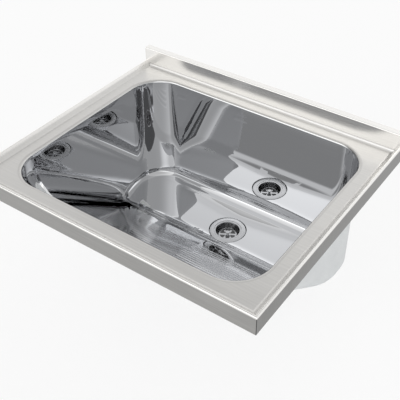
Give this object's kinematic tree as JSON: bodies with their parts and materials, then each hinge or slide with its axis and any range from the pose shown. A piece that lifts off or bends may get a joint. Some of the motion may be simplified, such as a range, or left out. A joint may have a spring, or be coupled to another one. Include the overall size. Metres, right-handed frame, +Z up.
{
  "type": "laundry sink",
  "caption": "Rectangular steel laundry sink top with a deep bowl whose front slopes as a ribbed washboard, raised edges, a low splashback and a basket waste.",
  "frame": {"origin": "centre of the underside of the front rest flange, midway between the sides", "axes": "+X to the user's right, +Y back to the wall, +Z up"},
  "size_m": [0.6, 0.51, 0.3594],
  "materials": {
    "deck_steel": "satin",
    "bowl_steel": "mirror polished",
    "waste_steel": "polished",
    "basket_steel": "polished, perforated",
    "coating": "sprayed, textured",
    "galvanised": "galvanised sheet",
    "screw_steel": "zinc plated",
    "brass": "plain",
    "rubber": "matt",
    "nylon": "matt"
  },
  "bodies": {
    "sink": {"deck_top": "deck_steel", "bowl": "bowl_steel", "bowl_coating": "coating", "front_channel": "galvanised", "rear_channel": "galvanised", "left_channel": "galvanised", "right_channel": "galvanised", "front_left_bracket": "galvanised", "front_right_bracket": "galvanised", "rear_left_bracket": "galvanised", "rear_right_bracket": "galvanised", "bracket_screws": "screw_steel", "earth_tag": "deck_steel", "earth_bolt": "brass", "earth_nut": "brass", "waste_body": "waste_steel", "flange_gasket": "rubber", "under_washer": "rubber", "friction_ring": "nylon", "backnut": "nylon"},
    "strainer": {"strainer_basket": "basket_steel", "basket_knob": "basket_steel"}
  },
  "joints": [
    {"name": "basket_lift", "type": "slide", "parent": "sink", "child": "strainer", "axis": [0, 0, 1], "range_m": [0, 0.08]}
  ]
}
